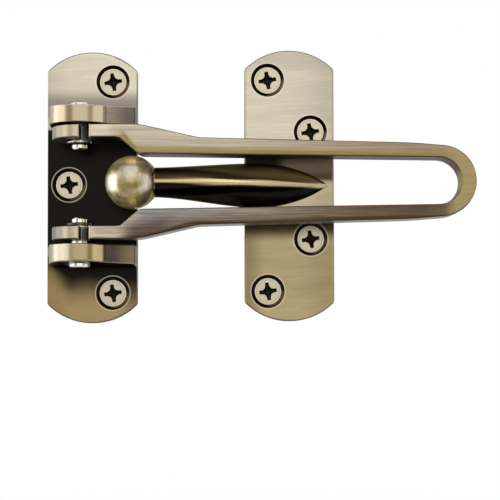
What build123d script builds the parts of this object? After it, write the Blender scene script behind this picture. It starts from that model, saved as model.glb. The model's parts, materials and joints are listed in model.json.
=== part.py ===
from build123d import *
import os
from math import asin, atan2, cos, hypot, pi, radians, sin, sqrt, tan

# A swing-bar door guard, in millimetres. A slotted bar hinged on the frame plate drops over the
# ball-ended arm of the door plate, so the door opens only by the length of the slot.
# +X runs from the frame plate to the door plate, +Z is up and -Y points off the wall into the room.
# The origin is the centre of the frame plate's back face. "Height" below means height off the wall.

# Plates
plate_length = 90.0
plate_width = 29.7
plate_thickness = 4.0
plate_end_radius = 20.6
plate_corner_radius = 1.5
plate_edge_radius = 0.5
plate_spacing = 65.15
door_plate_lift = 0.5

# Screw holes, placed from the middle line and the ends of each plate
frame_hole_side = 6.8
frame_middle_hole_side = 7.7
frame_middle_hole_rise = 0.8
door_hole_side = 7.1
hole_end_margin = 9.9
door_hole_pitch = 17.3
hole_diameter = 4.6
countersink_diameter = 11.0
countersink_angle = 90.0

# Wood screws
screw_length = 25.0
screw_head_diameter = 9.1
screw_head_rim = 0.35
screw_head_bevel = 0.2
screw_neck_diameter = 3.6
screw_thread_diameter = 4.2
screw_tip_length = 5.0
screw_seat_clearance = 0.03
cross_length = 6.0
cross_arm_width = 1.15
cross_core_width = 2.2
cross_depth = 1.9
cross_taper = 12.0
cross_turn = 9.0

# Hinge lugs on the frame plate
pin_side = 3.0
lug_radius = 9.9
lug_thickness = 5.7
upper_lug_gap = 0.45
lower_lug_gap = 1.35
lug_draft = 4.0
lug_edge_radius = 0.5
rib_height_at_lug = 18.4
rib_height_at_edge = 14.0
rib_crease_radius = 0.6

# Pivot pins and the clips that hold them
pin_diameter = 5.2
pin_head_diameter = 7.3
pin_head_height = 1.2
pin_tail = 3.0
pin_edge_radius = 0.4
pin_seat_clearance = 0.02
seat_margin = 0.3
clip_groove_depth = 0.5
clip_diameter = 8.6
clip_thickness = 0.6
clip_mouth = 3.9
clip_clearance = 0.04
clip_side_gap = 0.6

# Swing bar
eye_radius = 8.9
eye_clearance = 0.4
bar_rise = 0.05
bar_thickness = 9.5
bar_outer_hinge_width = 36.7
bar_inner_hinge_width = 28.2
bar_outer_neck_width = 27.9
bar_inner_neck_width = 17.6
bar_shoulder_width = 24.4
bar_shoulder_margin = 20.3
outer_bend_start = 16.6
outer_bend_end = 35.8
inner_bend_start = 10.8
inner_bend_end = 16.9
outer_bend_radii = (25.0, 15.0, 150.0)
inner_bend_radii = (1.2, 3.0)
bar_reach = 124.3
bar_tip_radius = 11.4
bar_tip_wall = 4.7
slot_tip_radius = 7.45
bar_edge_radius = 0.45
bar_heel_radius = 2.0
bar_running_clearance = 0.05
eye_slot_width = 3.0
eye_slot_side = 2.2
eye_slot_mouth_radius = 0.8

# Arm and ball on the door plate
ball_diameter = 17.4
ball_clearance = 0.7
ball_side = 13.9
neck_diameter = 9.6
arm_width = 14.7
arm_widest = 54.2
arm_tip = 78.0
arm_tip_height = 4.8
arm_root_depth = 1.5
arm_crest_sharpness = 1.45
arm_tip_fullness = 0.87
arm_start_inset = 3.0
arm_tip_cut = 0.3
arm_stations = 13
station_points = 16

# Sizes that follow from the ones above
plate_half = plate_width / 2
hole_rise = plate_length / 2 - hole_end_margin
pin_radius = pin_diameter / 2
pin_height = plate_thickness + eye_radius + eye_clearance
bar_front = pin_height + eye_radius
lug_front = pin_height + lug_radius
ball_radius = ball_diameter / 2
ball_height = plate_thickness + ball_clearance + ball_radius
neck_radius = neck_diameter / 2
door_plate_left = plate_spacing - plate_half
countersink_slope = tan(radians(countersink_angle / 2))
draft_slope = tan(radians(lug_draft))

# Sketches on this plane have X to the right and height off the wall upwards
side_view = Plane((0, 0, 0), x_dir=(1, 0, 0), z_dir=(0, 0, -1))

# A solid placed by the middle of its lower end
from_base = (Align.CENTER, Align.CENTER, Align.MIN)


def facing_room(x, height, z):
    """A place over the wall whose own Z points into the room."""
    return Location(Plane((x, -height, z), x_dir=(1, 0, 0), z_dir=(0, -1, 0)))


def on_pin_axis(z, up):
    """A place on the hinge axis whose own Z points up for up = 1 and down for up = -1."""
    return Location(Plane((-pin_side, -pin_height, z), x_dir=(1, 0, 0), z_dir=(0, 0, up)))


def plate_blank():
    """A flat plate with arched ends and softened front edges, its back on the wall."""
    ends = Rot(0, 0, 90) * SlotCenterToCenter(plate_length - 2 * plate_end_radius, 2 * plate_end_radius)
    outline = Rectangle(plate_width, plate_length) & ends
    outline = fillet(outline.vertices(), plate_corner_radius)
    blank = extrude(Plane.XZ * outline, plate_thickness)
    front = blank.faces().sort_by(Axis.Y)[0]
    return fillet(front.edges(), plate_edge_radius)


def screw_hole():
    """A countersunk clearance hole, its mouth at Z = 0, going down."""
    cone_depth = (countersink_diameter - hole_diameter) / 2 / countersink_slope
    cone = Pos(0, 0, -cone_depth / 2) * Cone(hole_diameter / 2, countersink_diameter / 2, cone_depth)
    mouth = Cylinder(countersink_diameter / 2, plate_thickness, align=from_base)
    return cone + mouth + Cylinder(hole_diameter / 2, 3 * plate_thickness)


def cross_recess():
    """The driver's cross in a screw head, its mouth at Z = 0, narrowing downwards."""
    corner = cross_core_width / 2
    reach = cross_length / 2
    side = cross_arm_width / 2
    points = []
    for quarter in range(4):
        turn = radians(90 * quarter + cross_turn)
        for along, across in ((reach, -side), (reach, side), (corner, corner)):
            points.append((along * cos(turn) - across * sin(turn), along * sin(turn) + across * cos(turn)))
    star = make_face(Polyline(points, close=True))
    return extrude(star, -cross_depth, taper=cross_taper)


def screw_top_height():
    """Height of a seated head's top, its cone resting on the countersink."""
    sunk = (countersink_diameter - screw_head_diameter) / 2 / countersink_slope
    return plate_thickness - sunk + screw_head_rim + screw_seat_clearance


def wood_screw():
    """A countersunk wood screw, the top of its head at Z = 0 and its point down."""
    head = screw_head_diameter / 2
    neck = screw_neck_diameter / 2
    thread = screw_thread_diameter / 2
    cone_end = screw_head_rim + (head - neck) / countersink_slope
    # The plain neck ends at the plate's back, and the thread widens from there
    neck_end = screw_top_height()
    half = Polyline(
        (0, 0),
        (head - screw_head_bevel, 0),
        (head, -screw_head_bevel),
        (head, -screw_head_rim),
        (neck, -cone_end),
        (neck, -neck_end),
        (thread, -neck_end - (thread - neck)),
        (thread, screw_tip_length - screw_length),
        (0, -screw_length),
        close=True,
    )
    return revolve(Plane.XZ * make_face(half), Axis.Z) - cross_recess()


def lug_inner_face(up):
    """Z of the face of a lug that the swing bar turns against."""
    gap = upper_lug_gap if up > 0 else lower_lug_gap
    return bar_rise + up * (bar_outer_hinge_width / 2 + gap)


def lug_seat(up):
    """Z of the spot face under a pin's head, just below the lug's leaning outer side."""
    lean = (lug_radius - pin_head_diameter / 2) * draft_slope
    return lug_inner_face(up) + up * (lug_thickness + lean)


def lug(up):
    """A hinge lug and its rib, for up = 1 the upper one, with a leaning outer side."""
    crease = sqrt(lug_radius**2 - (rib_height_at_lug - pin_height) ** 2) - pin_side
    rib = make_face(
        Polyline(
            (-pin_side, 0),
            (plate_half, 0),
            (plate_half, rib_height_at_edge),
            (crease, rib_height_at_lug),
            (-pin_side, pin_height),
            close=True,
        )
    )
    heel = Pos(-pin_side - lug_radius / 2, pin_height / 2) * Rectangle(lug_radius, pin_height)
    profile = Pos(-pin_side, pin_height) * Circle(lug_radius) + rib + heel
    for corner in ((crease, rib_height_at_lug, 0), (plate_half, rib_height_at_edge, 0)):
        profile = fillet(profile.vertices().sort_by_distance(corner)[0], rib_crease_radius)
    slab = extrude(side_view * profile, bar_outer_hinge_width, both=True)
    inner = lug_inner_face(up)
    root = inner + up * (lug_thickness + lug_front * draft_slope)
    outer = inner + up * lug_thickness
    wedge = Polyline((0, inner), (0, root), (-lug_front, outer), (-lug_front, inner), close=True)
    body = slab & extrude(Plane.YZ * make_face(wedge), 2 * plate_width, both=True)
    rim = [
        edge
        for edge in body.edges()
        if -edge.center().Y > plate_thickness / 2 and edge.bounding_box().size.Z < lug_thickness / 2
    ]
    return fillet(rim, lug_edge_radius)


def frame_plate():
    """The plate with the two hinge lugs, one casting."""
    part = plate_blank()
    for up in (1, -1):
        part += lug(up)
    seat = Cylinder(pin_head_diameter / 2 + seat_margin, plate_width, align=from_base)
    for up in (1, -1):
        part -= on_pin_axis(lug_seat(up), up) * seat
    part -= on_pin_axis(0, 1) * Cylinder(pin_radius + pin_seat_clearance, plate_length)
    for x, z in frame_holes():
        part -= facing_room(x, plate_thickness, z) * screw_hole()
    return part


def frame_holes():
    """Places of the frame plate's holes: upper, middle, lower."""
    return (
        (frame_hole_side, hole_rise),
        (-frame_middle_hole_side, frame_middle_hole_rise),
        (frame_hole_side, -hole_rise),
    )


def door_holes():
    """Places of the door plate's holes, from the top down."""
    places = (
        (-door_hole_side, hole_rise),
        (door_hole_side, hole_rise - door_hole_pitch),
        (door_hole_side, door_hole_pitch - hole_rise),
        (-door_hole_side, -hole_rise),
    )
    return tuple((plate_spacing + x, door_plate_lift + z) for x, z in places)


def ease(share):
    """A smooth step from 0 to 1."""
    share = min(max(share, 0.0), 1.0)
    return share * share * (3 - 2 * share)


def arm_station(x, start):
    """One section of the arm: an ellipse at the neck that turns into a pointed arch on the plate."""
    half_width = arm_width / 2
    if x < arm_widest:
        half = neck_radius + (half_width - neck_radius) * ease((x - start) / (arm_widest - start))
    else:
        share = (x - arm_widest) / (arm_tip - arm_widest)
        half = half_width * (1 - share**2) ** arm_tip_fullness
    run = (x - start) / (arm_tip - start)
    settle = ease((x - start) / (arm_widest - start))
    seat = ease((x - start) / (door_plate_left - start))
    neck_top = ball_height + neck_radius
    neck_bottom = ball_height - neck_radius
    crest = arm_tip_height + (neck_top - arm_tip_height) * (1 - run**2)
    shoulder = ball_height + (plate_thickness - ball_height) * settle
    bottom = neck_bottom + (plate_thickness - arm_root_depth - neck_bottom) * seat
    power = 2 / (2 + (arm_crest_sharpness - 2) * settle)
    points = []
    for index in range(station_points):
        turn = 2 * pi * index / station_points
        rise = sin(turn)
        reach = abs(cos(turn)) ** (power if rise > 0 else 1)
        side = half * reach * (1 if cos(turn) > 0 else -1)
        up = (crest - shoulder) * rise**power if rise > 0 else (shoulder - bottom) * rise
        points.append((x, -(shoulder + up), side + door_plate_lift))
    return make_face(Spline(points, periodic=True))


def door_plate():
    """The plate with its arm, neck and ball, one casting."""
    start = ball_side + ball_radius - arm_start_inset
    step = (arm_tip - arm_tip_cut - start) / (arm_stations - 1)
    arm = loft([arm_station(start + step * index, start) for index in range(arm_stations)])
    ball = Pos(ball_side, -ball_height, door_plate_lift) * Sphere(ball_radius)
    part = Pos(plate_spacing, 0, door_plate_lift) * plate_blank() + (arm + ball)
    for x, z in door_holes():
        part -= facing_room(x, plate_thickness, z) * screw_hole()
    return part


def tapered_loop(bends, radii, tip, tip_radius):
    """A face whose side passes its bends, each a reach and a width, and ends in a round tip."""
    corners = [(reach, width / 2) for reach, width in bends]
    hinge_half = corners[0][1]
    back = -pin_side - 2 * eye_radius
    # The last straight side runs along the tangent of the round tip
    last_reach, last_half = corners[-1]
    centre = tip - tip_radius
    run = hypot(centre - last_reach, last_half)
    heading = asin(tip_radius / run) - atan2(last_half, centre - last_reach)
    length = sqrt(run**2 - tip_radius**2)
    tangent = (last_reach + length * cos(heading), last_half + length * sin(heading))
    upper = FilletPolyline((back, hinge_half), *corners, tangent, radius=radii)
    lower = mirror(upper, about=Plane.XZ)
    nose = ThreePointArc(tangent, (tip, 0), (tangent[0], -tangent[1]))
    closing = Line((back, -hinge_half), (back, hinge_half))
    return make_face([upper, nose, lower, closing])


def eye_slot_profile():
    """The slot that opens an eye to the front, with rounded lips."""
    left = -pin_side + eye_slot_side - eye_slot_width / 2
    right = left + eye_slot_width
    lip = eye_slot_mouth_radius
    low = bar_front - lip
    return make_face(
        [
            Polyline((left, low), (left, pin_height), (right, pin_height), (right, low)),
            RadiusArc((right, low), (right + lip, bar_front), lip),
            Polyline(
                (right + lip, bar_front),
                (right + lip, lug_front),
                (left - lip, lug_front),
                (left - lip, bar_front),
            ),
            RadiusArc((left - lip, bar_front), (left, low), lip),
        ]
    )


def swing_bar():
    """The slotted bar with its two hinge eyes, one casting."""
    outer_bends = (
        (outer_bend_start, bar_outer_hinge_width),
        (outer_bend_end, bar_outer_neck_width),
        (bar_reach - bar_shoulder_margin, bar_shoulder_width),
    )
    inner_bends = (
        (inner_bend_start, bar_inner_hinge_width),
        (inner_bend_end, bar_inner_neck_width),
    )
    outer = tapered_loop(outer_bends, outer_bend_radii, bar_reach, bar_tip_radius)
    inner = tapered_loop(inner_bends, inner_bend_radii, bar_reach - bar_tip_wall, slot_tip_radius)
    front_shape = extrude(Plane.XZ * (outer - inner), 2 * bar_front)
    leg_length = bar_reach + 2 * pin_side
    leg_middle = bar_front - bar_thickness / 2
    leg = Pos(leg_length / 2 - pin_side, leg_middle) * Rectangle(leg_length, bar_thickness)
    profile = Pos(-pin_side, pin_height) * Circle(eye_radius) + leg
    heel_rise = bar_front - bar_thickness - pin_height
    heel_x = sqrt(eye_radius**2 - heel_rise**2) - pin_side
    heel = profile.vertices().sort_by_distance((heel_x, pin_height + heel_rise, 0))[0]
    profile = fillet(heel, bar_heel_radius)
    bar = front_shape & extrude(side_view * profile, bar_outer_hinge_width, both=True)
    edges = bar.edges().filter_by(Axis.Y, reverse=True).filter_by(Axis.Z, reverse=True)
    bar = fillet(edges, bar_edge_radius)
    bore = Circle(pin_radius + bar_running_clearance)
    bar -= extrude(on_pin_axis(0, 1) * bore, bar_outer_hinge_width, both=True)
    bar -= extrude(side_view * eye_slot_profile(), bar_outer_hinge_width, both=True)
    return Pos(0, 0, bar_rise) * bar


def bar_inner_face(up):
    """Z of the face of a hinge eye that looks to the middle of the bar."""
    return up * bar_inner_hinge_width / 2 + bar_rise


def pivot_pin(up):
    """A headed pin from outside the lug to past the eye, with a groove for its clip."""
    tail = up * bar_inner_face(up) - pin_tail
    groove_far = up * bar_inner_face(up) - clip_side_gap + clip_clearance
    groove_near = groove_far - clip_thickness - 2 * clip_clearance
    groove = pin_radius - clip_groove_depth
    seat = up * lug_seat(up)
    head = pin_head_diameter / 2
    half = Polyline(
        (0, tail),
        (pin_radius - pin_edge_radius, tail),
        (pin_radius, tail + pin_edge_radius),
        (pin_radius, groove_near),
        (groove, groove_near),
        (groove, groove_far),
        (pin_radius, groove_far),
        (pin_radius, seat),
        (head, seat),
        (head, seat + pin_head_height - pin_edge_radius),
        (head - pin_edge_radius, seat + pin_head_height),
        (0, seat + pin_head_height),
        close=True,
    )
    return on_pin_axis(0, up) * revolve(Plane.XZ * make_face(half), Axis.Z)


def pin_clip(up):
    """An open clip pushed into the pin's groove, its mouth towards the wall."""
    hub = pin_radius - clip_groove_depth + clip_clearance
    mouth = Pos(0, up * clip_diameter / 2) * Rectangle(clip_mouth, clip_diameter)
    ring = Circle(clip_diameter / 2) - Circle(hub) - mouth
    near = up * bar_inner_face(up) - clip_side_gap - clip_thickness
    return on_pin_axis(up * near, up) * extrude(ring, clip_thickness)


def screws(places):
    """A seated wood screw for each hole."""
    top = screw_top_height()
    return [facing_room(x, top, z) * wood_screw() for x, z in places]


nodes = {
    "frame_plate": frame_plate(),
    "door_plate": door_plate(),
    "swing_bar": swing_bar(),
    "upper_pivot_pin": pivot_pin(1),
    "lower_pivot_pin": pivot_pin(-1),
    "upper_pin_clip": pin_clip(1),
    "lower_pin_clip": pin_clip(-1),
}
nodes.update(zip(("frame_screw_upper", "frame_screw_middle", "frame_screw_lower"), screws(frame_holes())))
door_names = ("door_screw_top", "door_screw_upper", "door_screw_lower", "door_screw_bottom")
nodes.update(zip(door_names, screws(door_holes())))

os.makedirs("parts", exist_ok=True)
for name, shape in nodes.items():
    export_step(shape, f"parts/{name}.step")
    print(name, len(shape.solids()), round(shape.volume, 1))
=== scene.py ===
import json
from math import atan2, cos, pi, radians, sin, sqrt

import bpy
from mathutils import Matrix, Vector


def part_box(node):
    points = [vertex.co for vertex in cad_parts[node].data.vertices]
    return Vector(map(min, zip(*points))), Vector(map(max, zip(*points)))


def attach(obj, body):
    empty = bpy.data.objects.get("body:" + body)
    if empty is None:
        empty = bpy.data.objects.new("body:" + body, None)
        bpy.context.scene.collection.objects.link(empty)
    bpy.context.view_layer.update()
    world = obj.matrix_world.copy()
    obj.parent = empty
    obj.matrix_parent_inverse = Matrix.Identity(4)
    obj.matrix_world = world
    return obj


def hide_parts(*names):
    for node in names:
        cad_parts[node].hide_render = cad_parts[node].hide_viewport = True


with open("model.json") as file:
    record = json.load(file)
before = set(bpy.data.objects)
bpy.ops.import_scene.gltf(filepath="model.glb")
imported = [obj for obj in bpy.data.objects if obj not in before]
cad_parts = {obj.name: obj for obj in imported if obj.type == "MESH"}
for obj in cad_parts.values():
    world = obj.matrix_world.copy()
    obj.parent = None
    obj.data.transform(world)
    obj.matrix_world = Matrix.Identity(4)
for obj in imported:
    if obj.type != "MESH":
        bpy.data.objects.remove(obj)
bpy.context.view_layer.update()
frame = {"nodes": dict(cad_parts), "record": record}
nodes = frame["nodes"]

MM = 0.001

# Camera, below the middle of the part and aimed slightly up, its angles in radians
# Its shift frames the part as in the photograph
camera_place = (49.6 * MM, -444.3 * MM, -46.8 * MM)
camera_turn_right = 0.0056
camera_tilt_up = 0.035
camera_roll = 0.0024
camera_lens_mm = 96.0
camera_sensor_mm = 36.0
camera_shift_up = 0.0633
camera_nearest = 0.01
camera_farthest = 20.0

# Studio
middle = Vector((55 * MM, 0, 0))
lamp_distance = 1.0
floor_height = -150 * MM
floor_radius = 420 * MM
floor_sides = 96
floor_fade_from = 0.35 * floor_radius
floor_fade_to = 0.98 * floor_radius

# Places on the part that the finishes follow, in millimetres
plate_face = -4.0
lug_right = 5.49
halves_blend = 5.0
door_plate_middle = 65.15
ball_middle = (13.9, -13.4, 0.5)
ball_radius = 8.7
arm_middle = 0.5
arm_tip_drop = 0.3
countersink_radius = 5.5
frame_screws = ("frame_screw_upper", "frame_screw_middle", "frame_screw_lower")
door_screws = ("door_screw_top", "door_screw_upper", "door_screw_lower", "door_screw_bottom")

# Colours that more than one place has
DULL_BRASS = (0.30, 0.26, 0.19, 1)
BLACK = (0.012, 0.011, 0.010, 1)


def set_socket(tree, socket, value):
    """Gives an input socket a value, or links another node's output to it."""
    if isinstance(value, bpy.types.NodeSocket):
        tree.links.new(value, socket)
    else:
        socket.default_value = value


def make_node(tree, kind, inputs=None, **settings):
    """A shader node with its settings; inputs maps its sockets to values or to other nodes' outputs."""
    made = tree.nodes.new(kind)
    for name, value in settings.items():
        setattr(made, name, value)
    for socket, value in (inputs or {}).items():
        set_socket(tree, made.inputs[socket], value)
    return made


def math_node(tree, operation, first, second=0.0, third=0.0):
    """The result of one sum."""
    made = make_node(tree, "ShaderNodeMath", {0: first, 1: second, 2: third}, operation=operation)
    return made.outputs[0]


def ramp(tree, value, low, high, to_low=0.0, to_high=1.0):
    """A smooth step: to_low where value is at low, to_high where it is at high."""
    inputs = {"Value": value, "From Min": low, "From Max": high, "To Min": to_low, "To Max": to_high}
    made = make_node(tree, "ShaderNodeMapRange", inputs, interpolation_type="SMOOTHSTEP")
    return made.outputs["Result"]


def mix_colour(tree, share, first, second, blend="MIX"):
    """A mix of two colours, the second at share 1."""
    inputs = {0: share, 6: first, 7: second}
    return make_node(tree, "ShaderNodeMix", inputs, data_type="RGBA", blend_type=blend).outputs[2]


def new_material(name):
    """An empty material, its tree and its Principled shader."""
    material = bpy.data.materials.new(name)
    material.use_nodes = True
    tree = material.node_tree
    return material, tree, tree.nodes["Principled BSDF"]


class Finish:
    """A metal finish under way, with the coordinates that its masks use, in millimetres.

    A share is a mask from 0 to 1. Each kind of finish sets its own grain, relief and roughness.
    """

    bump_depth = 0.02 * MM
    specular_tint = (0.5, 0.48, 0.45, 1)

    def __init__(self, name, colour):
        self.material, self.tree, self.shader = new_material(name)
        coords = make_node(self.tree, "ShaderNodeTexCoord")
        inputs = {0: coords.outputs["Object"], "Scale": 1 / MM}
        self.place = make_node(self.tree, "ShaderNodeVectorMath", inputs, operation="SCALE").outputs[0]
        split = make_node(self.tree, "ShaderNodeSeparateXYZ", {0: self.place})
        self.x, self.y, self.z = split.outputs
        facing = make_node(self.tree, "ShaderNodeSeparateXYZ", {0: coords.outputs["Normal"]})
        self.nx, self.ny, self.nz = facing.outputs
        self.colour = colour
        self.metal = 1.0

    def noise(self, scale, detail=3.0, roughness=0.6, lean=0.0):
        """Noise, 0 to 1, stretched by the three numbers of scale, in features per millimetre."""
        turn = {"Vector": self.place, "Rotation": (0, radians(lean), 0)}
        turned = make_node(self.tree, "ShaderNodeMapping", turn)
        mapped = make_node(self.tree, "ShaderNodeMapping", {"Vector": turned.outputs[0], "Scale": scale})
        inputs = {"Vector": mapped.outputs[0], "Scale": 1.0, "Detail": detail, "Roughness": roughness}
        return make_node(self.tree, "ShaderNodeTexNoise", inputs).outputs["Fac"]

    def sum(self, operation, first, second=0.0, third=0.0):
        """The result of one sum."""
        return math_node(self.tree, operation, first, second, third)

    def fold(self, operation, values):
        """Values joined by one operation."""
        total, *rest = values
        for value in rest:
            total = self.sum(operation, total, value)
        return total

    def step(self, value, low, high, to_low=0.0, to_high=1.0):
        """A smooth step from low to high."""
        return ramp(self.tree, value, low, high, to_low, to_high)

    def both(self, *shares):
        """Shares multiplied."""
        return self.fold("MULTIPLY", shares)

    def either(self, *shares):
        """The largest of some shares."""
        return self.fold("MAXIMUM", shares)

    def other(self, share):
        """What a share leaves."""
        return self.sum("SUBTRACT", 1.0, share)

    def band(self, value, low, high, soft=0.5):
        """1 between low and high, falling off over soft on each side."""
        rise = self.step(value, low - soft, low + soft)
        return self.both(rise, self.step(value, high + soft, high - soft))

    def size(self, value):
        """A number without its sign."""
        return self.sum("ABSOLUTE", value)

    def distance(self, **spot):
        """Distance from a spot, measured along the axes that it gives."""
        squares = []
        for axis, at in spot.items():
            off = self.sum("SUBTRACT", getattr(self, axis), at)
            squares.append(self.sum("MULTIPLY", off, off))
        return self.sum("SQRT", self.fold("ADD", squares))

    def outward(self):
        """How far the surface faces away from the part's middle height, from -1 to 1."""
        return self.both(self.nz, self.sum("SIGN", self.z))

    def corner_shade(self, reach, low, high):
        """Where the surface lies in a corner: 0 where high or more of its surroundings is open, 1 at low."""
        inputs = {"Distance": reach * MM}
        made = make_node(self.tree, "ShaderNodeAmbientOcclusion", inputs, samples=6, only_local=True)
        return self.step(made.outputs["AO"], high, low)

    def mix(self, share, first, second):
        """A mix of two colours, the second at share 1."""
        return mix_colour(self.tree, share, first, second)

    def tint(self, share, colour, most=1.0):
        """Lays a colour over the finish by its share, at most by the part given."""
        if most < 1.0:
            share = self.both(share, most)
        self.colour = self.mix(share, self.colour, colour)

    def shade(self, value):
        """Multiplies the colour by a grey number."""
        grey = make_node(self.tree, "ShaderNodeCombineColor", {0: value, 1: value, 2: value}).outputs[0]
        self.colour = mix_colour(self.tree, 1.0, self.colour, grey, "MULTIPLY")

    def darken(self, share, most):
        """Darkens the colour by its share, at most by the part given."""
        self.shade(self.other(self.both(share, most)))

    def streak(self, share, change):
        """Shades the colour up and down by a change about 0, by its share."""
        self.shade(self.sum("MULTIPLY_ADD", share, change, 1.0))

    def smooth(self, share, rough):
        """Moves the roughness towards a value by its share."""
        self.rough = self.sum("ADD", self.both(self.rough, self.other(share)), self.both(share, rough))

    def dull(self, share, metal):
        """Lowers the metallic share towards a value, where a patina covers the metal."""
        self.metal = self.both(self.metal, self.sum("MULTIPLY_ADD", share, metal - 1.0, 1.0))

    def done(self):
        """The finished material."""
        bump = {"Height": self.grain, "Strength": self.relief, "Distance": self.bump_depth}
        values = {
            "Base Color": self.colour,
            "Roughness": self.rough,
            "Metallic": self.metal,
            "Specular Tint": self.specular_tint,
            "Normal": make_node(self.tree, "ShaderNodeBump", bump).outputs[0],
        }
        for socket, value in values.items():
            set_socket(self.tree, self.shader.inputs[socket], value)
        return self.material


class Brushed(Finish):
    """Antique brass, brushed in fine lines along X; lean turns the lines, in degrees."""

    relief = 0.1

    def __init__(self, name, colour, lean=0.0):
        super().__init__(name, colour)
        fine = self.noise((0.10, 0.9, 5.0), roughness=0.75, lean=lean)
        broad = self.noise((0.03, 0.2, 0.9), detail=2.0)
        self.grain = self.sum("ADD", self.both(fine, 0.7), self.both(broad, 0.3))
        self.rough = self.step(self.grain, 0.25, 0.75, 0.27, 0.37)

    def wavy(self, value, reach):
        """A place that wanders softly, by up to half of reach either way."""
        cloud = self.noise((0.06, 0.06, 0.08), detail=2.0, roughness=0.5)
        return self.sum("MULTIPLY_ADD", cloud, reach, self.sum("SUBTRACT", value, reach / 2))


class Nickel(Finish):
    """Nickel-plated steel, faintly mottled."""

    relief = 0.05

    def __init__(self, name, colour, rough_low, rough_high):
        super().__init__(name, colour)
        self.grain = self.noise((0.9, 0.9, 0.9))
        self.shade(self.step(self.grain, 0.3, 0.7, 0.94, 1.02))
        self.rough = self.step(self.grain, 0.3, 0.7, rough_low, rough_high)


def plate_brass(name, pale_from, pale_to, lean=0.0):
    """The brass of a plate with a painted light gradient, golden below pale_from and pale above pale_to."""
    gold = (0.47, 0.405, 0.245, 1)
    pale = (0.635, 0.615, 0.545, 1)
    finish = Brushed(name, gold, lean)
    # Painted light: paler towards the top along a wavy line, golden below
    finish.tint(finish.step(finish.wavy(finish.z, 16.0), pale_from, pale_to), pale)
    finish.shade(finish.step(finish.grain, 0.3, 0.7, 0.87, 1.09))
    smears = finish.noise((0.09, 0.3, 0.35), roughness=0.55, lean=lean)
    finish.shade(finish.step(smears, 0.32, 0.68, 0.95, 1.04))
    return finish


def plate_edges(finish):
    """The edges of a plate, dark where no brush reached them and from painted shade, most of all at its
    ends.
    """
    end_edge = (0.12, 0.11, 0.095, 1)
    side_edge = (0.24, 0.21, 0.18, 1)
    low = finish.step(finish.y, plate_face - 0.3, plate_face - 0.05)
    finish.tint(finish.both(finish.step(finish.size(finish.nz), 0.15, 0.5), low), end_edge, 0.9)
    finish.tint(finish.both(finish.step(finish.size(finish.nx), 0.5, 0.9), low), side_edge, 0.85)


def plate_holes(finish, screws):
    """Black countersinks, patina and painted shade, with a painted highlight on a thin rim and on their
    lower right side.
    """
    rim_highlight = (0.86, 0.80, 0.68, 1)
    highlight_brass = (0.42, 0.36, 0.25, 1)
    away = []
    for screw in screws:
        low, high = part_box(screw)
        away.append(finish.distance(x=(low[0] + high[0]) / 2 / MM, z=(low[2] + high[2]) / 2 / MM))
    nearest = finish.fold("MINIMUM", away)
    near_face = finish.step(finish.y, plate_face - 0.3, plate_face - 0.1)
    # Painted highlight on a thin rim round each countersink
    rim = finish.band(nearest, countersink_radius + 0.05, countersink_radius + 0.4, 0.12)
    finish.tint(finish.both(rim, near_face), rim_highlight, 0.38)
    # Inside black: patina and painted shade round the screw heads
    inside = finish.step(nearest, countersink_radius + 0.1, countersink_radius - 0.1)
    sunk = finish.both(inside, near_face)
    finish.tint(sunk, BLACK)
    # Painted highlight on the lower right side of each countersink, which faces up and to the left
    lit = finish.step(finish.sum("SUBTRACT", finish.nz, finish.nx), 0.55, 1.0)
    finish.tint(finish.both(sunk, lit), highlight_brass, 0.45)


def plate_back(finish):
    """The hidden back of a plate, evenly plated."""
    back = finish.both(finish.step(finish.y, -0.5, -0.1), finish.step(finish.ny, 0.3, 0.8))
    finish.tint(back, DULL_BRASS)
    finish.smooth(back, 0.45)


def finish_plate(finish, screws):
    """What both plates have, and the finished material."""
    plate_edges(finish)
    plate_holes(finish, screws)
    plate_back(finish)
    return finish.done()


def by_half(finish, below, above):
    """One number on the lower half of the frame plate and another on its upper half."""
    return finish.step(finish.z, -halves_blend, halves_blend, below, above)


def frame_face(finish, face):
    """The flat face of the frame plate with painted shade, darker to the left, above the upper lug and at
    its lower end.
    """
    ochre = (0.34, 0.265, 0.14, 1)
    umber = (0.10, 0.065, 0.04, 1)
    amber = (0.26, 0.18, 0.06, 1)
    grey = (0.245, 0.23, 0.22, 1)
    shadow = (0.11, 0.08, 0.045, 1)
    x, z = finish.x, finish.z
    # Painted shade: a little paler to the right and darker to the left
    finish.shade(finish.step(x, 2.0, 14.0, 1.0, 1.02))
    finish.shade(finish.step(x, -6.0, -14.0, 1.0, 0.84))
    # Painted light and shade at the lower end: ochre, dark umber at the right and amber at the left
    low_end = finish.both(finish.step(z, -24.0, -27.0), face)
    finish.tint(low_end, ochre, 0.75)
    right_low = finish.both(low_end, finish.step(x, 5.0, 13.0), finish.step(z, -44.0, -34.0))
    finish.tint(right_low, umber, 0.85)
    finish.tint(finish.both(low_end, finish.step(x, -6.0, -13.0)), amber, 0.5)
    # Painted shade above the upper lug
    above = finish.both(finish.step(z, 33.5, 28.0), finish.step(z, 22.0, 24.0), face)
    finish.tint(above, grey, 0.9)
    # Painted shadow, nearly black under the lower lug, reaching less far down on the left
    height = finish.sum("SUBTRACT", finish.wavy(z, 5.0), finish.step(x, -6.5, -14.5, 0.0, 7.0))
    under = finish.both(finish.step(z, -22.0, -24.0), face)
    finish.tint(finish.both(under, finish.step(height, -40.5, -32.5)), shadow, 0.75)
    finish.tint(finish.both(under, finish.step(height, -36.0, -30.0)), BLACK)


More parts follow.
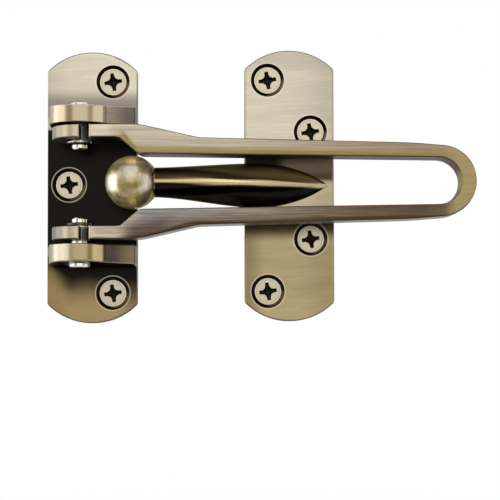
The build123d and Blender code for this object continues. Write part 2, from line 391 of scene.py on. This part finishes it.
def lug_fronts(finish, stands):
    """The smooth rounded fronts of the lugs with painted reflections: golden above, and with a bright
    painted streak below.
    """
    golden = (0.60, 0.53, 0.40, 1)
    left_beige = (0.55, 0.51, 0.43, 1)
    streak_highlight = (0.95, 0.87, 0.64, 1)
    right_brown = (0.40, 0.34, 0.21, 1)
    right_highlight = (0.54, 0.46, 0.28, 1)
    x = finish.x
    upper = by_half(finish, 0.0, 1.0)
    lug = finish.both(stands, finish.step(x, lug_right + 0.8, lug_right))
    # Painted reflection bands across the lower lug: beige at the left, a bright streak, brown, and a lighter
    # streak; the upper lug is painted golden
    below = finish.mix(finish.step(x, -6.2, -3.6), streak_highlight, right_brown)
    below = finish.mix(finish.step(x, -8.2, -6.6), left_beige, below)
    below = finish.mix(finish.band(x, 1.8, 3.6, 0.9), below, right_highlight)
    finish.tint(lug, finish.mix(upper, below, golden))
    finish.smooth(lug, 0.24)
    finish.dull(finish.both(lug, finish.other(upper), finish.band(x, -7.4, -5.2, 0.7)), 0.15)
    # Painted shade in bands across the upper lug
    shade_bands = finish.either(finish.band(x, -5.6, 1.4, 0.7), finish.step(x, 3.0, 4.6))
    finish.darken(finish.both(lug, upper, shade_bands), 0.2)


def lug_ribs(finish, stands):
    """The grey ribs beside the lugs with painted shade, and the dark crease between the two, painted shade
    and patina.
    """
    grey = (0.43, 0.385, 0.36, 1)
    dark_grey = (0.215, 0.20, 0.20, 1)
    shaded_grey = (0.115, 0.10, 0.095, 1)
    tan = (0.33, 0.27, 0.20, 1)
    end_black = (0.05, 0.045, 0.04, 1)
    x = finish.x
    rib = finish.both(stands, finish.step(x, lug_right, lug_right + 0.8))
    # Painted shade: the upper rib darkens to the right, the lower rib is darkest at the left next to its lug
    high_rib = finish.mix(finish.step(x, 6.0, 13.0), grey, dark_grey)
    low_rib = finish.mix(finish.step(x, 7.5, 14.5), shaded_grey, tan)
    finish.tint(rib, finish.mix(by_half(finish, 0.0, 1.0), low_rib, high_rib))
    finish.streak(rib, finish.step(finish.grain, 0.3, 0.7, -0.12, 0.1))
    # Painted shade on the rib ends
    finish.tint(finish.both(rib, finish.step(finish.nx, 0.4, 0.8)), end_black)
    # Painted shade and patina in the crease between lug and rib
    crease = finish.both(stands, finish.band(x, lug_right - 0.3, lug_right + 0.55, 0.3))
    finish.tint(finish.both(crease, by_half(finish, 0.85, 0.5)), BLACK)


def lug_sides(finish, stands):
    """The bevels and walls of the lugs and ribs: the walls painted black as shade but for the top wall, and
    a painted highlight on the upper bevels.
    """
    bevel_highlight = (0.80, 0.74, 0.62, 1)
    top_brown = (0.25, 0.21, 0.14, 1)
    outward = finish.outward()
    # Painted highlight on the bevels of the upper lug and rib, dull brass on the lower ones
    bevel = finish.both(stands, finish.band(outward, 0.3, 0.75, 0.1))
    bevel_colour = finish.mix(by_half(finish, 0.0, 1.0), DULL_BRASS, bevel_highlight)
    finish.tint(finish.both(bevel, by_half(finish, 0.75, 0.5)), bevel_colour)
    # Painted shade: the walls facing away from the middle and towards it nearly black
    walls = finish.either(finish.step(outward, 0.8, 0.93), finish.step(outward, -0.35, -0.75))
    finish.tint(finish.both(stands, walls), BLACK, 0.95)
    # The top wall of the upper lug painted brown instead
    top_wall = finish.both(stands, finish.step(finish.nz, 0.8, 0.93), finish.step(finish.z, 20.0, 22.0))
    finish.tint(top_wall, top_brown)


def frame_brass():
    """The frame plate with its lugs and ribs; the floor between the lugs stayed black."""
    finish = plate_brass("frame brass", -12.0, 30.0)
    stands = finish.step(finish.y, plate_face - 0.5, plate_face - 1.2)
    face = finish.other(stands)
    frame_face(finish, face)
    lug_fronts(finish, stands)
    lug_ribs(finish, stands)
    lug_sides(finish, stands)
    between = finish.both(finish.step(finish.z, -20.3, -19.45), finish.step(finish.z, 19.6, 18.6))
    finish.tint(finish.both(between, face), BLACK)
    # Painted shade and patina in the corners, from ambient occlusion
    finish.tint(finish.corner_shade(reach=3.0, low=0.45, high=0.85), BLACK, 0.8)
    return finish_plate(finish, frame_screws)


def door_face(finish, face):
    """The flat face of the door plate with painted shade, darker at its top, at its right and next to the
    bar.
    """
    deep_brown = (0.05, 0.038, 0.018, 1)
    warm_grey = (0.225, 0.19, 0.15, 1)
    border_gold = (0.42, 0.33, 0.18, 1)
    shadow = (0.06, 0.046, 0.026, 1)
    x, z = finish.x, finish.z
    # Painted shade: darker at the right and towards the top
    finish.shade(finish.step(x, 66.0, 80.0, 1.0, 0.8))
    finish.shade(finish.step(z, 36.0, 44.0, 1.0, 0.84))
    finish.shade(finish.step(z, 10.0, 28.0, 1.0, 0.92))
    # Painted shadow and reflection of the bar, between the bar's legs, above the arm
    between = finish.both(finish.step(z, 1.0, 3.0), finish.step(z, 15.5, 12.5), face)
    finish.tint(between, finish.mix(finish.step(z, 3.0, 8.0), deep_brown, warm_grey), 0.95)
    deep = finish.either(finish.step(z, 8.9, 9.9), finish.step(x, 66.0, 60.0))
    finish.tint(finish.both(between, deep), BLACK, 0.92)
    # Painted shade at the lower left, and a slightly darker stretch above the lower end
    finish.darken(finish.both(finish.step(x, 58.0, 51.0), finish.step(z, 0.0, -12.0)), 0.36)
    stretch = finish.both(finish.step(z, -15.0, -24.0, 1.0, 0.87), finish.step(z, -33.0, -41.0, 1.0, 1.13))
    finish.shade(stretch)
    border = finish.step(finish.size(finish.sum("SUBTRACT", x, door_plate_middle)), 13.9, 14.5)
    finish.tint(finish.both(border, face), border_gold, 0.45)
    # Painted shadow just under the bar's lower leg
    under = finish.both(finish.step(z, -18.5, -13.8), finish.step(z, -8.0, -9.5), face)
    finish.tint(under, shadow, 0.93)


def ball_patina_and_light(finish, ball):
    """The ball: an olive patina with painted reflections of the lamps, a golden painted highlight on top and
    painted shade on its right.
    """
    olive = (0.36, 0.29, 0.13, 1)
    pale_olive = (0.55, 0.47, 0.27, 1)
    reflection_grey = (0.62, 0.585, 0.49, 1)
    cream = (0.95, 0.90, 0.76, 1)
    top_highlight = (0.80, 0.66, 0.34, 1)
    right_brown = (0.17, 0.12, 0.04, 1)
    reflection_cream = (0.78, 0.73, 0.64, 1)
    middle_x, _, middle_z = ball_middle
    across = finish.sum("SUBTRACT", finish.x, middle_x)
    up = finish.sum("SUBTRACT", finish.z, middle_z)
    patina = finish.noise((0.28, 0.28, 0.28), detail=4.0)
    mottled = finish.mix(finish.step(patina, 0.38, 0.62), olive, pale_olive)
    # Painted reflection of the front lamp in a window over the mottled patina
    lamp_reflection = finish.both(finish.band(up, 0.7, 4.8, 0.9), finish.band(across, -3.2, 2.4, 0.9))
    finish.tint(ball, finish.mix(lamp_reflection, mottled, reflection_grey))
    # Painted reflection of the left lamp
    left_reflection = finish.both(finish.band(up, -3.2, 1.9, 0.8), finish.band(across, -8.0, -4.2, 0.6))
    finish.tint(finish.both(ball, left_reflection), cream)
    # Painted highlight on top, painted shade on the right
    finish.tint(finish.both(ball, finish.step(up, 4.8, 6.4)), top_highlight)
    finish.tint(finish.both(ball, finish.step(across, 5.6, 7.4)), right_brown)
    # Painted reflection low on the right front, broken up by the patina
    front = finish.step(finish.y, -13.0, -14.0)
    lower_reflection = finish.both(ball, finish.band(across, 2.6, 6.6, 0.6), finish.band(up, -3.4, 2.2, 0.9), front)
    finish.tint(finish.both(lower_reflection, finish.step(patina, 0.35, 0.55, 0.35, 0.75)), reflection_cream)
    strokes = finish.noise((1.7, 1.7, 0.2), roughness=0.7)
    finish.streak(ball, finish.step(strokes, 0.3, 0.7, -0.16, 0.14))
    finish.smooth(ball, 0.27)
    finish.dull(finish.both(ball, finish.step(across, 7.2, 5.6)), 0.52)


def arm_painted_light(finish, arm):
    """The arm: a bright painted highlight along its crest, and painted shade brown above it and black below.
    """
    dull_crest = (0.52, 0.465, 0.35, 1)
    crest_highlight = (1.0, 0.89, 0.54, 1)
    bronze = (0.30, 0.21, 0.07, 1)
    neck_brown = (0.05, 0.036, 0.015, 1)
    flank_brown = (0.138, 0.098, 0.039, 1)
    flank_black = (0.012, 0.011, 0.009, 1)
    x = finish.x
    # How far a place lies above the crest line, scaled so that the crest narrows at both of its ends
    line = finish.step(x, 50.0, 74.0, arm_middle, arm_middle - arm_tip_drop)
    across = finish.sum("SUBTRACT", finish.z, line)
    across = finish.both(across, finish.step(x, 20.0, 42.0, 2.4, 1.0), finish.step(x, 56.0, 74.0, 1.0, 1.5))
    side = finish.size(across)
    # Painted highlight along the crest, bronze at its sides
    finish.tint(arm, finish.mix(finish.step(x, 25.0, 60.0), dull_crest, crest_highlight))
    finish.tint(finish.both(arm, finish.step(side, 0.6, 1.2)), bronze)
    # Painted shade on the flanks: brown above the crest, black where it faces up, and black below
    upper = finish.both(arm, finish.step(across, 1.0, 2.2))
    flank = finish.mix(finish.step(x, 22.0, 38.0), neck_brown, flank_brown)
    finish.tint(upper, finish.mix(finish.step(finish.nz, 0.6, 0.97), flank, flank_black))
    finish.tint(finish.both(arm, finish.step(across, -0.9, -1.8)), BLACK)
    finish.smooth(arm, 0.2)
    finish.smooth(finish.both(arm, finish.step(side, 1.6, 0.8)), 0.27)
    finish.dull(finish.both(arm, finish.step(side, 1.3, 0.8), finish.step(x, 46.0, 58.0)), 0.2)
    finish.smooth(upper, 0.36)
    finish.dull(finish.both(upper, finish.step(finish.nz, 0.85, 0.5)), 0.65)


def door_brass():
    """The door plate with its arm and ball."""
    finish = plate_brass("door brass", -22.0, 22.0, lean=5.0)
    stands = finish.step(finish.y, plate_face - 0.15, plate_face - 0.5)
    door_face(finish, finish.other(stands))
    ball_x, ball_y, ball_z = ball_middle
    away = finish.distance(x=ball_x, y=ball_y, z=ball_z)
    ball = finish.step(away, ball_radius + 0.4, ball_radius + 0.1)
    ball_patina_and_light(finish, ball)
    arm_painted_light(finish, finish.both(stands, finish.other(ball)))
    return finish_plate(finish, door_screws)


def bar_legs(finish, upper, side):
    """The legs of the bar, painted as lit beige above and shaded grey-brown below; side is the distance from
    its middle line.
    """
    beige_end = (0.285, 0.24, 0.17, 1)
    inner_gold = (0.29, 0.22, 0.10, 1)
    hinge_grey = (0.208, 0.2, 0.215, 1)
    warm_grey = (0.235, 0.2, 0.175, 1)
    tip_brown = (0.115, 0.087, 0.064, 1)
    pale_grey = (0.37, 0.35, 0.34, 1)
    outer_brown = (0.15, 0.112, 0.07, 1)
    shoulder_brown = (0.11, 0.08, 0.06, 1)
    edge_brown = (0.055, 0.037, 0.018, 1)
    x = finish.x
    lower = finish.other(upper)
    # Both edges of a leg come in at the shoulder and then taper slowly to the tip
    inner_shoulder = finish.step(x, 10.8, 16.9, 14.1, 8.8)
    inner_edge = finish.sum("ADD", inner_shoulder, finish.step(x, 17.0, 117.0, 0.0, -1.3))
    from_inner = finish.sum("SUBTRACT", side, inner_edge)
    outer_shoulder = finish.step(x, 16.6, 35.8, 18.3, 13.9)
    outer_edge = finish.sum("ADD", outer_shoulder, finish.step(x, 36.0, 104.0, 0.0, -1.75))
    to_outer = finish.sum("SUBTRACT", outer_edge, side)
    # Upper leg: painted shade darker towards the tip, a golden painted reflection along its inner edge
    finish.tint(finish.step(x, 40.0, 105.0), beige_end)
    golden = finish.both(upper, finish.step(from_inner, 3.1, 1.1), finish.step(x, 9.5, 12.5))
    finish.tint(golden, inner_gold, 0.95)
    # Lower leg: browner towards the tip, a pale painted highlight along its inner edge and painted shade
    # along its outer one
    grey = finish.mix(finish.step(x, 30.0, 55.0), hinge_grey, warm_grey)
    grey = finish.mix(finish.step(x, 54.0, 98.0), grey, tip_brown)
    finish.tint(finish.both(lower, finish.step(x, 9.0, 20.0)), grey)
    inner_highlight = finish.both(lower, finish.step(from_inner, 1.7, 0.5), finish.step(x, 13.0, 17.0))
    finish.tint(finish.both(inner_highlight, finish.step(x, 62.0, 42.0)), pale_grey, 0.5)
    near_outer = finish.both(lower, finish.step(to_outer, 3.8, 1.4))
    finish.tint(finish.both(near_outer, finish.step(x, 10.0, 17.0)), outer_brown, 0.5)
    shoulder = finish.both(lower, finish.step(to_outer, 6.8, 3.0), finish.band(x, 12.5, 26.0, 4.0))
    finish.tint(shoulder, shoulder_brown, 0.88)
    outer_line = finish.both(lower, finish.step(to_outer, 1.6, 0.7))
    finish.tint(finish.both(outer_line, finish.step(x, 8.0, 17.0)), edge_brown, 0.85)


def bar_ends(finish, upper):
    """The golden bend at the tip and the knuckles at the hinge with painted highlights, and the streaks
    along the bar.
    """
    tip_gold = (0.32, 0.26, 0.14, 1)
    upper_cream = (0.66, 0.61, 0.53, 1)
    knuckle_highlight = (0.69, 0.60, 0.45, 1)
    end_grey = (0.22, 0.21, 0.195, 1)
    end_beige = (0.33, 0.30, 0.255, 1)
    x, z = finish.x, finish.z
    finish.tint(finish.step(x, 113.0, 118.0), tip_gold)
    finish.tint(finish.both(upper, finish.step(x, 9.5, 6.0)), upper_cream)
    broad = finish.noise((0.02, 0.3, 1.3))
    finish.shade(finish.step(broad, 0.3, 0.7, finish.step(x, 106.0, 113.0, 0.84, 0.96), 1.08))
    fine = finish.noise((0.05, 0.3, 2.4), detail=4.0, roughness=0.8)
    streaky = finish.both(finish.step(z, 6.0, -6.0, 0.45, 1.0), finish.step(x, 113.0, 106.0, 0.15, 1.0))
    finish.streak(streaky, finish.step(fine, 0.35, 0.65, -0.3, 0.26))
    # Painted highlight on the knuckles
    knuckle = finish.step(x, 4.0, 0.0)
    finish.tint(knuckle, knuckle_highlight, 0.9)
    finish.smooth(knuckle, 0.3)
    finish.dull(knuckle, 0.7)
    # The ends of the knuckles painted beige above and grey below, as lit and shaded
    finish.tint(finish.step(x, -6.0, -8.5), finish.mix(upper, end_grey, end_beige), 0.85)


def bar_walls(finish):
    """The walls of the bar with painted shade and light: dark edges, grey inside the slot and pale outside.
    """
    edge = (0.07, 0.06, 0.05, 1)
    inside_grey = (0.10, 0.097, 0.095, 1)
    outside_grey = (0.37, 0.345, 0.31, 1)
    corner_olive = (0.80, 0.70, 0.45, 1)
    x = finish.x
    steep = finish.size(finish.nz)
    outside = finish.step(finish.outward(), -0.2, 0.2)
    # Painted shade on the bevelled edges; the walls painted dark grey facing inwards and pale facing
    # outwards
    finish.tint(finish.step(steep, 0.2, 0.55), edge, 0.9)
    finish.tint(finish.step(steep, 0.9, 0.97), finish.mix(outside, inside_grey, outside_grey))
    # Painted highlight on the inner bevels at the shoulders
    corner = finish.both(finish.step(steep, 0.3, 0.6), finish.other(outside))
    finish.tint(finish.both(corner, finish.step(x, 19.0, 15.0), finish.step(x, 9.0, 11.0)), corner_olive)


def bar_brass():
    """The swing bar; the slots through its knuckles are painted black inside as shade."""
    beige = (0.51, 0.465, 0.39, 1)
    slot_black = (0.06, 0.057, 0.053, 1)
    finish = Brushed("bar brass", beige)
    side = finish.size(finish.z)
    upper = finish.step(finish.z, -1.0, 1.0)
    bar_legs(finish, upper, side)
    bar_ends(finish, upper)
    bar_walls(finish)
    # Painted shade inside the slots
    slot = finish.both(finish.band(finish.x, -2.6, 1.2, 0.15), finish.step(finish.y, -21.9, -21.4))
    finish.tint(finish.both(slot, finish.step(side, 12.0, 13.0)), slot_black)
    return finish.done()


def pin_nickel():
    """The bright metal of the pins and clips with painted shade, dull on the shafts and dark on the clips.
    """
    bright = (0.86, 0.86, 0.85, 1)
    shaft_grey = (0.42, 0.42, 0.415, 1)
    clip_black = (0.05, 0.048, 0.045, 1)
    finish = Nickel("bright nickel", bright, 0.1, 0.18)
    side = finish.size(finish.z)
    # Painted shade on the shafts, inside the bar's knuckles
    shaft = finish.both(finish.step(side, 13.7, 14.3), finish.step(side, 18.8, 18.2))
    finish.tint(shaft, shaft_grey, 0.9)
    finish.smooth(shaft, 0.34)
    finish.dull(shaft, 0.5)
    # Painted shadow on the clips
    clip = finish.band(side, 12.5, 13.65, 0.1)
    # A line round the upper edge of the upper clip stays bright
    rim = finish.both(finish.step(finish.z, 13.2, 13.4), finish.step(finish.nz, 0.5, 0.2))
    finish.tint(finish.both(clip, finish.other(rim)), clip_black, 0.95)
    return finish.done()


def screw_nickel():
    """The warm metal of the screws, painted shade black inside the cross recess and dark in the thread's
    root, with painted highlights on the head.
    """
    warm = (0.61, 0.57, 0.485, 1)
    recess_edge_highlight = (0.97, 0.94, 0.86, 1)
    recess_black = (0.016, 0.014, 0.011, 1)
    lit_wall = (0.60, 0.55, 0.45, 1)
    bright_rim = (0.90, 0.86, 0.76, 1)
    root_brown = (0.20, 0.17, 0.13, 1)
    finish = Nickel("warm nickel", warm, 0.28, 0.38)
    z = finish.z
    across = finish.distance(x=0.0, y=0.0)
    # A painted highlight on the edge of the recess, and painted shade inside it
    near_edge = finish.step(across, 3.4, 3.3)
    edge = finish.both(near_edge, finish.step(z, -0.01, -0.03), finish.step(z, -0.3, -0.2))
    finish.tint(edge, recess_edge_highlight)
    finish.dull(edge, 0.3)
    inside = finish.step(across, 3.3, 3.15)
    recess = finish.both(inside, finish.step(z, -0.17, -0.21), finish.step(z, -3.0, -2.8))
    finish.tint(recess, recess_black)
    # Painted highlight on the recess walls that face up
    lower_walls = finish.both(recess, finish.step(finish.ny, 0.25, 0.6), finish.step(z, -1.3, -1.0))
    finish.tint(lower_walls, lit_wall, 0.8)
    # The head has a painted highlight on its rim, with a painted shade ring inside it
    head = finish.step(z, -0.4, -0.3)
    finish.darken(finish.both(head, finish.band(across, 3.75, 3.95, 0.15)), 0.3)
    finish.tint(finish.both(head, finish.step(across, 4.1, 4.3)), bright_rim, 0.5)
    # Painted shade in the thread's root
    root = finish.both(finish.step(across, 1.95, 1.6), finish.step(z, -3.5, -4.0))
    finish.tint(root, root_brown, 0.6)
    return finish.done()


materials = {
    "frame_casting": frame_brass(),
    "door_casting": door_brass(),
    "bar_casting": bar_brass(),
    "pin_metal": pin_nickel(),
    "screw_metal": screw_nickel(),
}

for part in frame["record"]["subparts"]:
    shape = nodes[part["node"]]
    shape.material_slots[0].material = materials[part["material_slot"]]


# Wood screws with their threads, in millimetres; Z is the axis, 0 at the top of the head
head_radius = 4.55
head_bevel = 0.2
head_rim = 0.35
neck_radius = 1.8
neck_end = 3.43
thread_radius = 2.1
root_radius = 1.45
thread_pitch = 1.4
taper_start = 20.0
screw_end = 25.0
sharp_angle = 32.0

# Both powers round the screw's point, that of its root and that of its thread
root_power = 0.7
thread_power = 0.5

# One turn of the thread, its places along the pitch from the root over the crest, and its end
turn_steps = 24
thread_places = (-0.50, -0.16, 0.0, 0.16)
crest_index = 2
thread_end = screw_end - 0.1
deepest = screw_end - 0.02

# The cross recess: wings with straight sides, and round lobes of the head between them
cross_reach = 2.88
cross_half = 0.6
lobe_place = 2.167
lobe_radius = lobe_place - cross_half
lobe_angles = (13.5, 15.5, 20.0, 26.0, 34.0)
cross_turn = 9.0
cross_soft = 0.18
wall_end = 1.75
wing_from = 2.0
wing_taper = 0.42
lobe_taper = 0.25
cross_deepest = 2.15
floor_share = 0.30


def star_radius(angle):
    """Radius of the cross recess's outline at an angle from one of its wings, in degrees within 45."""
    a = radians(abs(angle))
    if a <= atan2(cross_half, cross_reach):
        return cross_reach / cos(a)
    if a <= atan2(cross_half, lobe_place):
        return cross_half / sin(a)
    along = lobe_place * (cos(a) + sin(a))
    return along - sqrt(max(along**2 - 2 * lobe_place**2 + lobe_radius**2, 0.0))


def star_outline():
    """Angles in degrees and radii of the points of the cross recess's outline."""
    wing = 180 / pi * atan2(cross_half, cross_reach)
    steps = (-wing, -wing / 2, 0, wing / 2, wing, *lobe_angles, 45, *(90 - a for a in reversed(lobe_angles)))
    radii = [star_radius((step + 45) % 90 - 45) for step in steps]
    return [(90 * quarter + step, radius) for quarter in range(4) for step, radius in zip(steps, radii)]


def screw_point(angle, radius, depth):
    """A point of the screw in metres, at an angle in radians and a depth below the top of the head."""
    return (radius * cos(angle) * MM, radius * sin(angle) * MM, -depth * MM)


def taper_star(star):
    """Radius at the lower end of the recess's walls, below a point of the outline."""
    return star - (wing_taper if star > wing_from else lobe_taper)


def add_body(verts, faces):
    """The head with its recess, the neck and the straight part of the root."""
    outline = star_outline()
    count = len(outline)
    rings = (
        (lambda star: floor_share * star, cross_deepest),
        (taper_star, wall_end),
        (lambda star: star, cross_soft),
        (lambda star: star + cross_soft, 0),
        (lambda star: head_radius - head_bevel, 0),
        (lambda star: head_radius, head_bevel),
        (lambda star: head_radius, head_rim),
        (lambda star: neck_radius, head_rim + head_radius - neck_radius),
        (lambda star: neck_radius, neck_end),
        (lambda star: root_radius, neck_end + neck_radius - root_radius),
        (lambda star: root_radius, neck_end + thread_pitch),
    )
    for radius, depth in rings:
        for angle, star in outline:
            verts.append(screw_point(radians(angle + cross_turn), radius(star), depth))
    for level in range(len(rings) - 1):
        here, after = level * count, (level + 1) * count
        for i in range(count):
            j = (i + 1) % count
            faces.append((here + i, here + j, after + j, after + i))
    last = (len(rings) - 1) * count
    faces.append(tuple(range(count - 1, -1, -1)))
    faces.append(tuple(last + i for i in range(count)))


def thread_profile(depth):
    """Root and crest radius at a depth below the top of the head."""
    start = min(max((depth - neck_end) / thread_pitch, 0.0), 1.0)
    end = min(max((screw_end - depth) / (screw_end - taper_start), 0.0), 1.0)
    root = root_radius * end**root_power
    return root, root + (thread_radius - root_radius) * start * end**thread_power


def add_thread(verts, faces):
    """The thread: a profile of a few points swept down a helix."""
    points = len(thread_places)
    total = int((thread_end - neck_end) / thread_pitch * turn_steps)
    base = len(verts)
    for step in range(total + 1):
        for index, place in enumerate(thread_places):
            depth = neck_end + thread_pitch * (step / turn_steps + place)
            depth = min(max(depth, neck_end), deepest)
            root, crest = thread_profile(depth)
            radius = crest if index == crest_index else root
            verts.append(screw_point(2 * pi * step / turn_steps, radius, depth))
    for step in range(total):
        here, after = base + points * step, base + points * (step + 1)
        for index in range(points - 1):
            faces.append((here + index, after + index, after + index + 1, here + index + 1))
        if step + turn_steps < total:
            below = here + points * turn_steps
            faces.append((here + points - 1, after + points - 1, below + points, below))


def screw_mesh():
    """One wood screw."""
    verts, faces = [], []
    add_body(verts, faces)
    add_thread(verts, faces)
    mesh = bpy.data.meshes.new("wood screw")
    mesh.from_pydata(verts, [], faces)
    mesh.validate()
    mesh.polygons.foreach_set("use_smooth", [True] * len(mesh.polygons))
    mesh.set_sharp_from_angle(angle=radians(sharp_angle))
    mesh.materials.append(materials["screw_metal"])
    return mesh


def place_screws():
    """The threaded screws, which share one mesh, each where its plain solid is."""
    mesh = screw_mesh()
    for name in frame_screws + door_screws:
        low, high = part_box(name)
        piece = bpy.data.objects.new(name + "_threaded", mesh)
        piece.location = ((low[0] + high[0]) / 2, low[1], (low[2] + high[2]) / 2)
        piece.rotation_euler = (pi / 2, 0, 0)
        bpy.context.scene.collection.objects.link(piece)
        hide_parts(name)
        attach(piece, "fixed")


def make_camera():
    """The camera at the photograph's place."""
    data = bpy.data.cameras.new("camera")
    data.sensor_width = camera_sensor_mm
    data.lens = camera_lens_mm
    data.shift_y = camera_shift_up
    data.clip_start = camera_nearest
    data.clip_end = camera_farthest
    camera = bpy.data.objects.new("camera", data)
    camera.location = camera_place
    camera.rotation_euler = (pi / 2 + camera_tilt_up, camera_roll, -camera_turn_right)
    bpy.context.scene.collection.objects.link(camera)
    bpy.context.scene.camera = camera


def softbox(name, azimuth, elevation, width, height, brightness):
    """A rectangular lamp that faces the part; azimuth 0 is in front of it and 90 to its right."""
    data = bpy.data.lights.new(name, "AREA")
    data.shape = "RECTANGLE"
    data.size = width
    data.size_y = height
    data.energy = brightness * pi * width * height
    lamp = bpy.data.objects.new(name, data)
    a, e = radians(azimuth), radians(elevation)
    away = Vector((sin(a) * cos(e), -cos(a) * cos(e), sin(e)))
    lamp.location = middle + away * lamp_distance
    lamp.rotation_euler = away.to_track_quat("Z", "Y").to_euler()
    lamp.visible_camera = False
    bpy.context.scene.collection.objects.link(lamp)


def make_world():
    """Plain white for the camera; for the part, white behind it and a dim room in front.

    The room is warm in what the metal reflects.
    """
    room_grey = (0.3, 0.3, 0.3, 1)
    room_warm = (0.46, 0.38, 0.245, 1)
    plain_white = (1, 1, 1, 1)
    world = bpy.data.worlds.new("studio")
    world.use_nodes = True
    bpy.context.scene.world = world
    tree = world.node_tree
    tree.nodes.clear()
    path = make_node(tree, "ShaderNodeLightPath")
    seen = math_node(tree, "MAXIMUM", path.outputs["Is Camera Ray"], path.outputs["Is Transmission Ray"])
    way = make_node(tree, "ShaderNodeTexCoord").outputs["Generated"]
    split = make_node(tree, "ShaderNodeSeparateXYZ", {0: way})
    behind = ramp(tree, split.outputs["Y"], -0.3, 0.25)
    front = mix_colour(tree, path.outputs["Is Glossy Ray"], room_grey, room_warm)
    room = mix_colour(tree, behind, front, plain_white)
    white = make_node(tree, "ShaderNodeBackground", {"Color": plain_white, "Strength": 1.0})
    around = make_node(tree, "ShaderNodeBackground", {"Color": room, "Strength": 1.0})
    mixed = make_node(tree, "ShaderNodeMixShader", {0: seen, 1: around.outputs[0], 2: white.outputs[0]})
    make_node(tree, "ShaderNodeOutputWorld", {"Surface": mixed.outputs[0]})


def make_floor():
    """A round pale floor that fades into the white around it."""
    pale_grey = (0.86, 0.86, 0.86, 1)
    matt = 0.8
    ring = []
    for i in range(floor_sides):
        turn = 2 * pi * i / floor_sides
        ring.append((middle.x + floor_radius * cos(turn), floor_radius * sin(turn), floor_height))
    mesh = bpy.data.meshes.new("floor")
    mesh.from_pydata(ring, [], [tuple(range(floor_sides))])
    floor = bpy.data.objects.new("floor", mesh)
    bpy.context.scene.collection.objects.link(floor)
    material, tree, shader = new_material("pale floor")
    shader.inputs["Base Color"].default_value = pale_grey
    shader.inputs["Roughness"].default_value = matt
    place = make_node(tree, "ShaderNodeTexCoord").outputs["Object"]
    split = make_node(tree, "ShaderNodeSeparateXYZ", {0: place})
    across = math_node(tree, "SUBTRACT", split.outputs["X"], middle.x)
    flat = make_node(tree, "ShaderNodeCombineXYZ", {0: across, 1: split.outputs["Y"]})
    far = make_node(tree, "ShaderNodeVectorMath", {0: flat.outputs[0]}, operation="LENGTH").outputs["Value"]
    fade = ramp(tree, far, floor_fade_from, floor_fade_to)
    clear = make_node(tree, "ShaderNodeBsdfTransparent")
    mixed = make_node(tree, "ShaderNodeMixShader", {0: fade, 1: shader.outputs[0], 2: clear.outputs[0]})
    tree.links.new(mixed.outputs[0], tree.nodes["Material Output"].inputs["Surface"])
    mesh.materials.append(material)


place_screws()
make_camera()
make_world()
make_floor()
softbox("front lamp", azimuth=5, elevation=32, width=1.2, height=1.5, brightness=0.8)
softbox("left lamp", azimuth=-78, elevation=2, width=0.98, height=1.4, brightness=1.1)
softbox("right lamp", azimuth=79, elevation=-5, width=1.0, height=1.3, brightness=0.62)
bpy.context.scene.view_settings.view_transform = "Standard"
